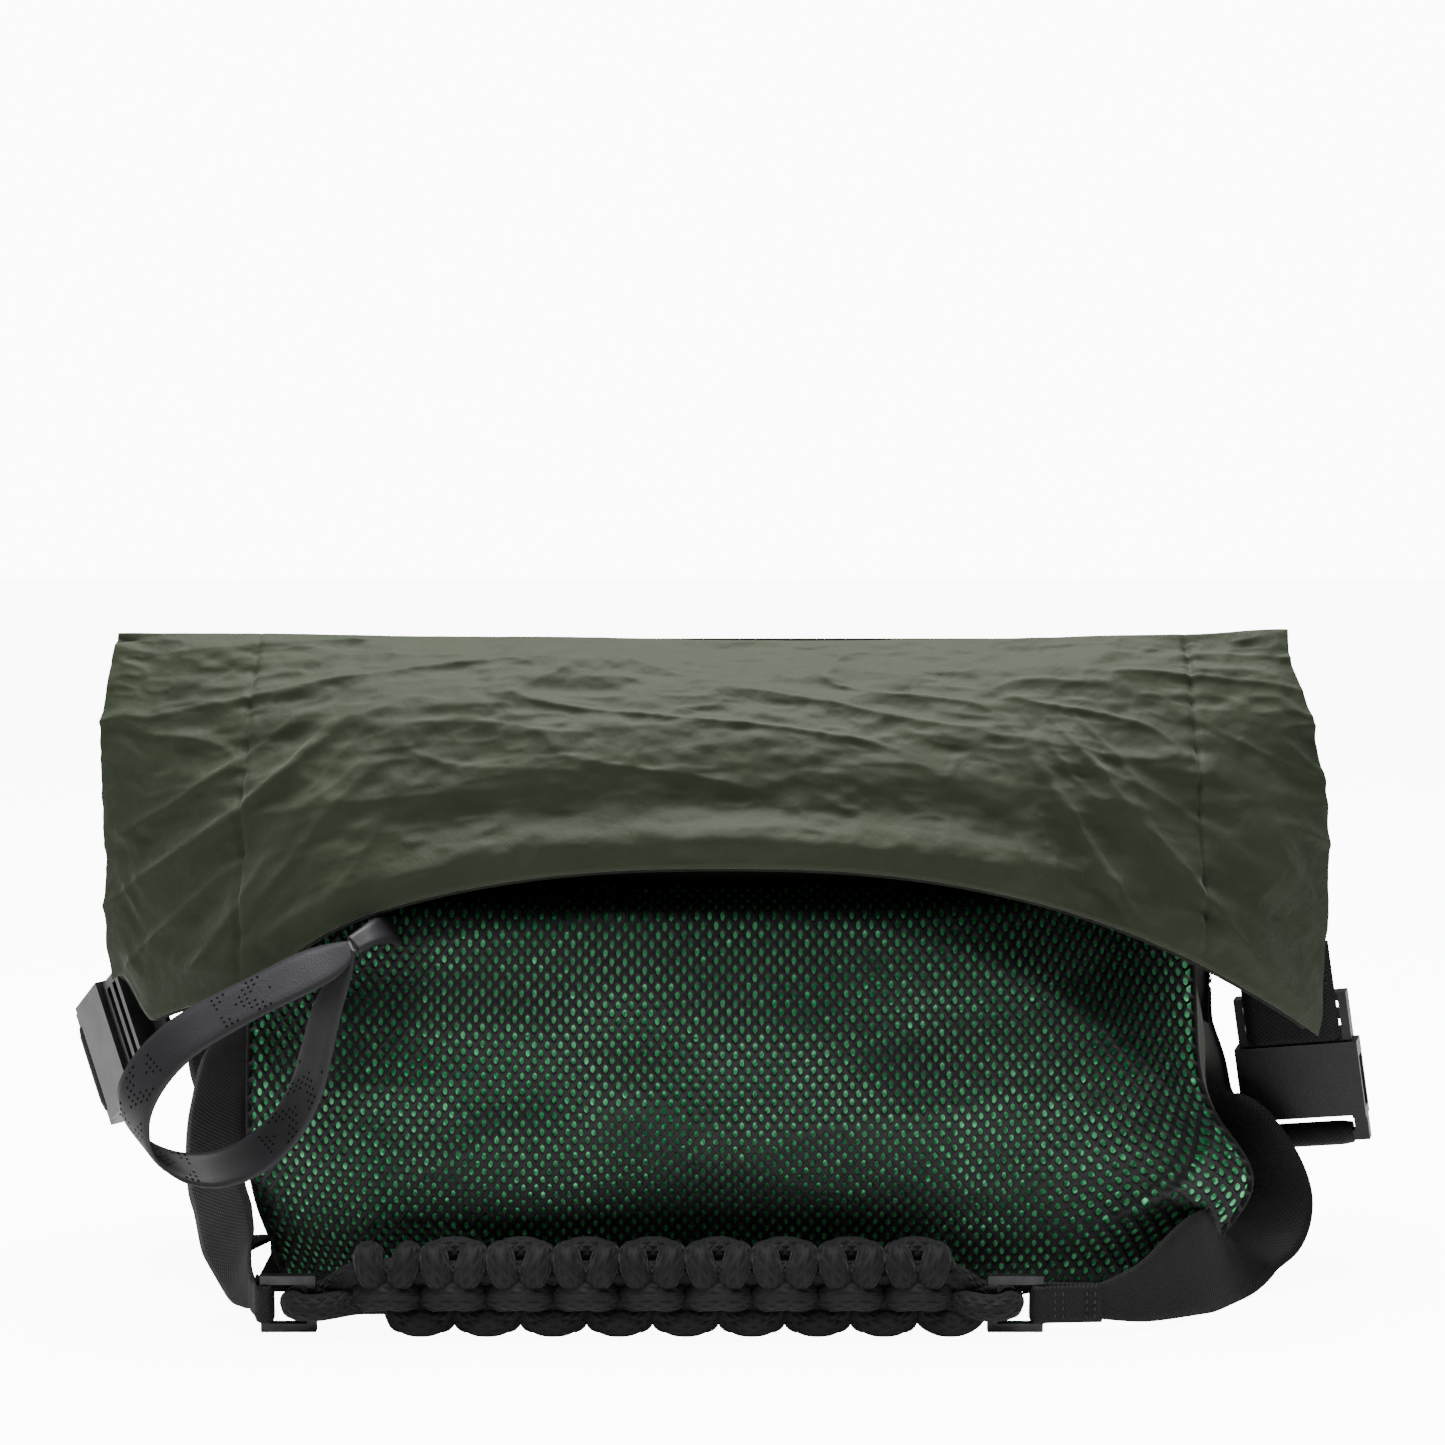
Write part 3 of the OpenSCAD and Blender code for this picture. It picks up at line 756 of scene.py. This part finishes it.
# Closed flat band; a station is centre x, y, z, width direction x, y, z and share of the width
def bandParts(stations, width, thick, parts=8):
    rows = spline(stations, parts)
    center = rows[:, :3]
    ahead = unit(np.gradient(center, axis=0))
    across = unit(rows[:, 3:6])
    outward = unit(np.cross(ahead, across))
    across = unit(np.cross(outward, ahead))
    count = webbing["columns"]
    s = np.linspace(-1, 1, count)
    bowl = thick / 2 * np.sqrt(np.clip(1 - np.abs(s) ** 8, 0.02, 1))
    loop = np.concatenate([np.stack([s, bowl], -1), np.stack([s[::-1], -bowl[::-1]], -1)])
    half = (width / 2 * rows[:, 6])[:, None, None]
    points = center[:, None] + across[:, None] * half * loop[None, :, :1]
    points = points + outward[:, None] * loop[None, :, 1:]
    run = np.concatenate([[0], np.cumsum(np.linalg.norm(np.diff(center, axis=0), axis=1))])
    u = loop[:, 0][None] * (width / 2) * np.ones((len(rows), 1))
    uv = np.stack([u * mm, run[:, None] * mm * np.ones_like(u)], -1).reshape(-1, 2)
    ring = len(loop)
    faces = gridFaces(len(rows), ring, 0, True)
    last = (len(rows) - 1) * ring
    faces += [list(range(ring - 1, -1, -1)), [last + k for k in range(ring)]]
    return points.reshape(-1, 3), faces, uv


strapRight = {
    "hang": (0.195, 0.012, 0.1),
    "lift": (0.213, -0.02, 0.045),
    "stations": [
        (199, 12, 112, 0, 1, 0, 1), (200, 11, 97, 0, 1, 0, 1), (202.5, 5, 81, -0.1, 1, -0.1, 1),
        (203.5, 2, 64, -0.35, 0.93, -0.1, 1), (212, -6.6, 50, -0.75, 0.6, -0.3, 1),
        (219.5, -16, 34, -0.95, 0.25, -0.2, 1), (220, -22, 26, -0.96, 0.28, 0, 1),
        (215, -30, 19, -0.88, 0.42, 0.2, 1), (205, -40, 17, -0.68, 0.5, 0.5, 1),
        (199, -53, 17.5, -0.25, 0.3, 0.92, 1), (184, -72, 18.8, -0.08, 0.25, 0.96, 1),
        (162, -88, 14, 0, 0.2, 0.98, 0.62), (142, -94, 12, 0, 0, 1, 0.36), (138, -94, 12, 0, 0, 1, 0.36),
    ],
}
strapLeft = {
    "hang": (-0.194, 0.012, 0.1),
    "lift": (-0.2, -0.04, 0.045),
    "stations": [
        (-191.5, 12, 108, 0, -1, 0, 1), (-194, 8, 99, 0.2, -1, 0, 1), (-201.5, -4, 86, 0.6, -0.8, 0, 1),
        (-204, -16, 70, 0.68, -0.73, 0.05, 1), (-203, -30, 55, 0.7, -0.7, 0.1, 1),
        (-200.5, -43, 41, 0.66, -0.72, 0.2, 1), (-195, -54, 27, 0.7, -0.65, 0.3, 1),
        (-189, -63, 17, 0.5, -0.5, 0.7, 0.9),
        (-184.5, -73, 13, 0.25, -0.25, 0.93, 0.6), (-180, -82.5, 12, 0, 0, 1, 0.36),
        (-178, -86, 12, 0, 0, 1, 0.36),
    ],
}
strapTail = {
    "width": 30.0,
    "stations": [
        (-191, 24, 128, 0.2, 1, 0, 1), (-200, 18, 114, -0.7, 0.7, 0, 1), (-209, 14, 97, -0.88, 0.45, 0, 1),
        (-210, 13, 76, -0.9, 0.4, 0, 1), (-206, 13, 58, -0.9, 0.4, 0, 1), (-211, 14, 40, -0.85, 0.5, 0, 1),
        (-214, 13, 24, -0.8, 0.6, 0, 1), (-212, 8, 10, -0.5, 0.85, 0, 1), (-205, 1, 4.5, -0.2, 1, 0, 1),
        (-193, -5, 4, 0, 1, 0, 1),
    ],
}


# The strap hangs from the bag at its sewn end, as one band along its stations
def makeStrap(name, node, strap):
    band = bandParts(strap["stations"], webbing["width"], webbing["thick"], 10)
    piece = joinParts(name, [band], blackWebbing)
    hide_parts(node)
    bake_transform(piece)


makeStrap("strapRight", "strap_webbing_right", strapRight)
makeStrap("strapLeft", "strap_webbing_left", strapLeft)
tailBand = bandParts(strapTail["stations"], strapTail["width"], webbing["thick"])
tail = joinParts("strapTail", [tailBand], blackWebbing)
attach(tail, "bag")
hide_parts("strap_tail_left")


# A row of short thread stitches from a to b, lying on a face that looks outward
def stitchParts(a, b, outward, pitch=2.6, long=1.7, thick=0.32):
    a, b, outward = (np.array(v, float) for v in (a, b, outward))
    count = max(int(np.linalg.norm(b - a) / pitch), 1)
    step = (b - a) / count
    ahead = unit(b - a)
    parts = []
    for i in range(count):
        middle = a + step * (i + 0.5)
        path = [middle - ahead * long / 2 - outward * 0.15, middle - ahead * long / 4 + outward * 0.25,
                middle + ahead * long / 4 + outward * 0.25, middle + ahead * long / 2 - outward * 0.15]
        parts.append(tubeParts(path, thick, 6))
    return parts


# Stitched box with a cross; corner is its first corner, wide and tall its sides as vectors
def boxStitch(corner, wide, tall, outward):
    c, w, h = (np.array(v, float) for v in (corner, wide, tall))
    rows = [(c, c + w), (c + w, c + w + h), (c + w + h, c + h), (c + h, c), (c, c + w + h), (c + w, c + h)]
    return [p for a, b in rows for p in stitchParts(a, b, outward)]


def stitches(name, parts, bodyName):
    piece = joinParts(name, parts, threadBlack)
    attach(piece, bodyName)


for sign, side in ((1, "right"), (-1, "left")):
    low, high = (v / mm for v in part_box("strap_anchor_" + side))
    x = (low.x + high.x) / 2 + (webbing["anchorShiftRight"] if sign > 0 else 0)
    stations = [(x, 12, z, 0, sign, 0, 1) for z in (low.z, low.z + 12, high.z - 10, high.z)]
    band = bandParts(stations, webbing["width"], webbing["anchorThick"], 4)
    anchor = joinParts("strapAnchor." + side, [band], blackWebbing)
    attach(anchor, "bag")
    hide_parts("strap_anchor_" + side)
    outward = (sign, 0, 0)
    face = x + sign * 1.2
    box = boxStitch((face, -4, high.z - 24), (0, 32, 0), (0, 0, 20), outward)
    stitches("anchorStitches." + side, box, "bag")
print("straps are made")


# Buckles with their webbing


# Placement of a buckle, from its joints: length down its own -Z, thickness along Y.
def buckleFrame(side):
    joints = {j["name"]: j for j in frame["joints"]}
    down = Vector(joints["buckle_release_" + side]["axis"])
    outer = joints["prong_squeeze_" + side + "_outer"]
    inner = joints["prong_squeeze_" + side + "_inner"]
    positive = inner if side == "left" else outer
    through = Vector(positive["axis"])
    middle = (Vector(outer["pos_m"]) + Vector(inner["pos_m"])) / 2
    up = -down
    wide = through.cross(up)
    rows = Matrix((wide, through, up)).transposed()
    return np.array(rows), np.array(middle + up * 0.021) / mm


buckle = {
    "edge": 0.7,
    "prongEdge": 0.5,
    "tabRight": 22.0,
    "tabLeft": 14.0,
    "tabSide": 5.3,
    "tabThick": 2.0,
    "barDrop": 59.2,
    "wrapWidth": 36.6,
    "wrapThick": 1.7,
}


def bevelNode(name, material, width):
    node = frame["nodes"][name]
    node.data.materials.clear()
    node.data.materials.append(material)
    bevel = node.modifiers.new("edge", "BEVEL")
    bevel.width = width * mm
    bevel.segments = 3
    bevel.limit_method = "ANGLE"
    bevel.angle_limit = math.radians(35)
    bevel.harden_normals = True
    return node


# The tab's line down the ladder frame and round its far bar; near is the side that it lies on
def tabLine(near, length):
    y = near * buckle["tabSide"]
    return [(0, y, length), (0, y + near * 0.3, length * 0.6), (0, y, 4), (0, y, 2.2),
            (0, y + near * 0.2, -6), (0, y, -13), (0, y - near * 0.2, -18.2),
            (0, y - near * 1.6, -19.4), (0, y - near * 3.0, -19.2)]


def onBuckle(points, turn, spot):
    return np.asarray(points, float) @ turn.T + spot


def buckleBand(name, line, turn, spot, width, thick, parts):
    across = turn @ np.array([1.0, 0, 0])
    stations = [(*onBuckle(point, turn, spot), *across, 1) for point in line]
    return joinParts(name, [bandParts(stations, width, thick, parts)], blackWebbing)


def dressBuckle(side):
    for part in ("buckle_male_" + side, "buckle_female_" + side):
        bevelNode(part, bucklePlastic, buckle["edge"])
    for way in ("outer", "inner"):
        bevelNode("buckle_prong_" + side + "_" + way, bucklePlastic, buckle["prongEdge"])
    turn, spot = buckleFrame(side)
    near = -1 if side == "right" else 1
    length = buckle["tabRight"] if side == "right" else buckle["tabLeft"]
    line = tabLine(near, length)
    tab = buckleBand("tabWebbing." + side, line, turn, spot, webbing["width"], buckle["tabThick"], 6)
    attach(tab, "sleeve")
    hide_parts("tab_webbing_" + side)
    face = near * (buckle["tabSide"] + 1.15)
    seams = [onBuckle([(a, face, z) for a in (-17, 17)], turn, spot) for z in (5.0, 8.0)]
    parts = [p for a, b in seams for p in stitchParts(a, b, turn @ np.array([0, near, 0.0]))]
    stitches("tabStitches." + side, parts, "sleeve")
    angles = np.linspace(-0.15, 1.15, 15) * 2 * math.pi * 0.77 + 0.7
    line = [(0, 4.1 * math.sin(a), -buckle["barDrop"] - 4.2 * math.cos(a)) for a in angles]
    wrap = buckleBand("barWrap." + side, line, turn, spot, buckle["wrapWidth"], buckle["wrapThick"], 3)
    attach(wrap, "socket_" + side)
    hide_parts("bar_wrap_" + side)


for side in ("left", "right"):
    dressBuckle(side)
print("buckles are finished")

# Rings, sewn ends and the knotted grip
grip = {
    "y": -94.0,
    "z": 18.0,
    "pitch": 25.0,
    "units": 9,
    "first": -126.5,
    "ringEdge": 0.9,
    "ringMiddle": 12,
    "barHalf": 1.7,
    "coreRadius": 5.1,
    "coreBend": 7.2,
    "coreSpread": 5.6,
}
sewnEnd = {"width": 14.5, "thick": 1.5, "height": 11.7, "stitch": 2.3, "stitchLong": 1.5}
ringLow = {}
ringHigh = {}
for side in ("left", "right"):
    bevelNode("ring_" + side, ringMetal, grip["ringEdge"])
    ringLow[side], ringHigh[side] = (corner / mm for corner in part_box("ring_" + side))


# Webbing folded round a ring's outer bar and sewn; turnAngle is the way it leaves the bar
def makeSewnEnd(side, barX, turnAngle, long, stitchRuns):
    ca, sa = math.cos(math.radians(turnAngle)), math.sin(math.radians(turnAngle))
    upper = [(long, 1.3), (long * 0.6, 1.7), (3.4, 2.4), (1.2, 3.1), (-1.8, 2.2)]
    loop = upper + [(-2.9, 0)] + [(a, -b) for a, b in upper[::-1]]
    stations = [(barX + a * ca - b * sa, grip["y"] + a * sa + b * ca, sewnEnd["height"], 0, 0, 1, 1)
                for a, b in loop]
    band = bandParts(stations, sewnEnd["width"], sewnEnd["thick"], 4)
    end = joinParts("strapEnd." + side, [band], blackWebbing)
    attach(end, "carry_grip")
    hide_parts("strap_end_" + side)
    outward = np.array([sa, -ca, 0])
    origin = np.array([barX, grip["y"], 0]) + outward * 2.6
    ahead = np.array([ca, sa, 0])
    parts = []
    for run in stitchRuns:
        foot = origin + ahead * run + (0, 0, 6)
        top = origin + ahead * run + (0, 0, 17.4)
        parts += stitchParts(foot, top, outward, sewnEnd["stitch"], sewnEnd["stitchLong"])
    stitches("endStitches." + side, parts, "carry_grip")


makeSewnEnd("left", ringLow["left"].x + grip["barHalf"], 120, 13, (5.0, 8.0))
makeSewnEnd("right", ringHigh["right"].x - grip["barHalf"], 0, 24, (6.0, 9.0, 18.0, 21.0))


# One unit of the working cord, front half: a bar, a low lobe beside it and two legs over the top
def knotPaths(center):
    bar = [(-8.4, 2.5, 13.4), (-7.8, -1.6, 14.8), (-5.0, -5.0, 16.2), (0, -6.0, 16.8),
           (5.0, -5.0, 16.2), (7.8, -1.6, 14.8), (8.4, 2.5, 13.4)]
    lobe = [(2.6, 2.0, 12), (4.0, -1.4, 7.8), (8.2, -3.6, 5.7), (12.5, -4.2, 5.3), (16.8, -3.6, 5.7),
            (21.0, -1.4, 7.8), (22.4, 2.0, 12)]
    paths = [(bar, 5.9), (lobe, 5.3)]
    for way in (-1, 1):
        leg = [(way * 3.6, -1.6, 18.0), (way * 4.6, -4.4, 22.4), (way * 6.2, -5.4, 26.6),
               (way * 7.2, -3.8, 29.4), (way * 7.6, 0.4, 30.0), (way * 7.2, 4.4, 28.4)]
        paths.append((leg, 5.6))
    return [([(center + x, y, z) for x, y, z in path], radius) for path, radius in paths]


# The back half is the front half turned over, half a pitch along
cordParts = []
for i in range(grip["units"]):
    center = grip["first"] + i * grip["pitch"]
    for path, radius in knotPaths(center):
        front = spline(path, 6)
        cordParts.append(tubeParts(front + (0, grip["y"], 0), radius, 18))
    if i < grip["units"] - 1:
        for path, radius in knotPaths(center + grip["pitch"] / 2):
            back = spline(path, 6)
            back[:, 1] *= -1
            back[:, 2] = 2 * grip["z"] - back[:, 2]
            cordParts.append(tubeParts(back + (0, grip["y"], 0), radius, 18))
gripKnots = joinParts("gripKnots", cordParts, gripCord)
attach(gripKnots, "carry_grip")
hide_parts("grip_knots")

innerLeft = ringHigh["left"].x - grip["barHalf"]
innerRight = ringLow["right"].x + grip["barHalf"]


# The core runs side by side at the rings and one above the other inside the knots
def coreRun(x, way):
    k = float(smooth(min(x - innerLeft, innerRight - x) / 20))
    height = mix(grip["ringMiddle"], grip["z"] + way * grip["coreSpread"], k)
    return (x, grip["y"] + way * grip["coreBend"] * (1 - k), height)


def coreBend(x, degrees):
    bend = grip["coreBend"]
    return [(x + bend * math.cos(a), grip["y"] + bend * math.sin(a), grip["ringMiddle"])
            for a in np.radians(degrees)]


core = [coreRun(x, 1) for x in np.linspace(innerLeft, innerRight, 60)]
core += coreBend(innerRight, [60, 30, 0, -30, -60])
core += [coreRun(x, -1) for x in np.linspace(innerRight, innerLeft, 60)]
core += coreBend(innerLeft, [-120, -150, 180, 150, 120])
gripCore = tube("gripCore", core, grip["coreRadius"], 16, gripCord, closed=True)
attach(gripCore, "carry_grip")
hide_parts("grip_core")
print("grip is made")

# Wrist loop
wristLoop = {
    "y": -91.0,
    "thick": 2.2,
    "dotPitch": 2.4,
    "dotRadius": 0.55,
    "plainStart": 34,
    "plainEnd": 46,
    "tailWidth": 15,
    "tailThick": 3.4,
    # Centre x and z, then the vector from the centre to the front edge
    "stations": [
        (-138, 148, 1.5, -3, -2), (-146, 143.5, 3.5, -6, -4.4), (-157, 138.4, 4.4, -7, -5.4),
        (-172, 131, 4.6, -7, -5.2), (-188, 122.6, 5.2, -7, -5.2), (-204, 112.6, 6, -7, -5),
        (-216, 100, 7, -7, -4.6), (-222, 86.5, 7.4, -7, -4.2), (-219, 73.5, 6.4, -7, -4.4),
        (-207.5, 64.6, 5, -7, -4.4), (-193, 62.4, 4.6, -7, -4.6), (-178, 67.6, 5.4, -7, -4.2),
        (-165.5, 78.5, 6.2, -7, -3.0), (-157, 93, 6.6, -7, -1.6), (-152.6, 108, 6.6, -7, -0.6),
        (-148.4, 124, 6.2, -7, 0.2), (-143, 137, 4.4, -6, 0.4), (-138.6, 147.4, 1.8, -3, 0.4),
    ],
    "tail": [
        (-139, -84, 147.5, 0.4, -0.5, -0.75, 0.55), (-134, -80, 150, 0.4, -0.5, -0.75, 0.6),
        (-129, -72, 151, 0.4, -0.5, -0.75, 0.8), (-126, -66, 149, 0.4, -0.5, -0.75, 0.9),
    ],
}


def rowAt(rows, run, place):
    return np.array([np.interp(place, run, rows[:, k]) for k in range(3)])


# A plain pattern of near-black discs in blocks along the ribbon, on both faces, standing in for small round
# holes: painted shade
def loopHoleShade(run, center, half, ahead, outward):
    dots, dotFaces = [], []
    pitch = wristLoop["dotPitch"]
    angles = np.linspace(0, 2 * math.pi, 8, endpoint=False)
    for step in range(int(run[-1] / pitch)):
        place = (step + 0.5) * pitch
        if not wristLoop["plainStart"] < place < run[-1] - wristLoop["plainEnd"]:
            continue
        middle, side, along, out = (rowAt(v, run, place) for v in (center, half, ahead, outward))
        side = unit(side)
        for row in range(-3, 4):
            if (abs(row) + step) % 6 > 2 or (step // 12) % 3 == 2:
                continue
            for way in (1, -1):
                start = len(dots)
                spot = middle + side * row * pitch + out * way * (wristLoop["thick"] / 2 + 0.05)
                radius = wristLoop["dotRadius"]
                dots += [spot + radius * (math.cos(a) * side + math.sin(a) * along) for a in angles]
                dotFaces.append([start + k for k in (range(8) if way > 0 else range(7, -1, -1))])
    return buildMesh("loopPerforationShade", np.array(dots) * mm, dotFaces, None, paintedHoleShade)


def makeWristLoop():
    rows = spline(wristLoop["stations"], 8)
    center = np.stack([rows[:, 0], np.full(len(rows), wristLoop["y"]), rows[:, 1]], -1)
    half = rows[:, 2:5]
    across = unit(half)
    ahead = unit(np.gradient(center, axis=0))
    outward = unit(np.cross(ahead, across))
    s = np.linspace(-1, 1, 9)
    bowl = wristLoop["thick"] / 2 * np.sqrt(np.clip(1 - np.abs(s) ** 10, 0.1, 1))
    loop = np.concatenate([np.stack([s, bowl], -1), np.stack([s[::-1], -bowl[::-1]], -1)])
    points = center[:, None] + half[:, None] * loop[None, :, :1] + outward[:, None] * loop[None, :, 1:]
    run = np.concatenate([[0], np.cumsum(np.linalg.norm(np.diff(center, axis=0), axis=1))])
    uv = np.stack(np.broadcast_arrays(loop[:, 0][None] * 0.01, run[:, None] * mm), -1)
    ring = len(loop)
    faces = gridFaces(len(rows), ring, 0, True)
    last = (len(rows) - 1) * ring
    faces += [list(range(ring - 1, -1, -1)), [last + k for k in range(ring)]]
    ribbon = buildMesh("wristLoop", points.reshape(-1, 3) * mm, faces, uv.reshape(-1, 2), loopRubber)
    return ribbon, loopHoleShade(run, center, half, ahead, outward)


loopRibbon, loopDots = makeWristLoop()
for piece in (loopRibbon, loopDots):
    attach(piece, "wrist_loop")
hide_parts("wrist_loop")
tailBand = bandParts(wristLoop["tail"], wristLoop["tailWidth"], wristLoop["tailThick"], 6)
loopTail = joinParts("loopTail", [tailBand], loopRubber)
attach(loopTail, "bag")
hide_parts("loop_anchor")

# Small trims
piping = {"radius": 1.2, "ledgeInset": 1.5, "cornerInset": 0.6, "cornerOut": 1.0}
ledge = frontSurface(np.linspace(0.01, 0.99, 90), 1.0, piping["ledgeInset"])
ledgePiping = tube("ledgePiping", ledge, piping["radius"], 8, blackWebbing)
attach(ledgePiping, "bag")
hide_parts("ledge_binding")
for name, edge in (("right", 1.0), ("left", 0.0)):
    outward = piping["cornerOut"] if edge else -piping["cornerOut"]
    seam = frontSurface(edge, np.linspace(0.0, 0.96, 50), piping["cornerInset"]) + (outward, 0, 0)
    piece = tube("cornerPiping." + name, seam, piping["radius"], 8, blackWebbing)
    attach(piece, "bag")
board = frame["nodes"]["base_board"]
board.data.materials.clear()
board.data.materials.append(stiffBoard)
print("trims are made")

low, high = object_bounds()
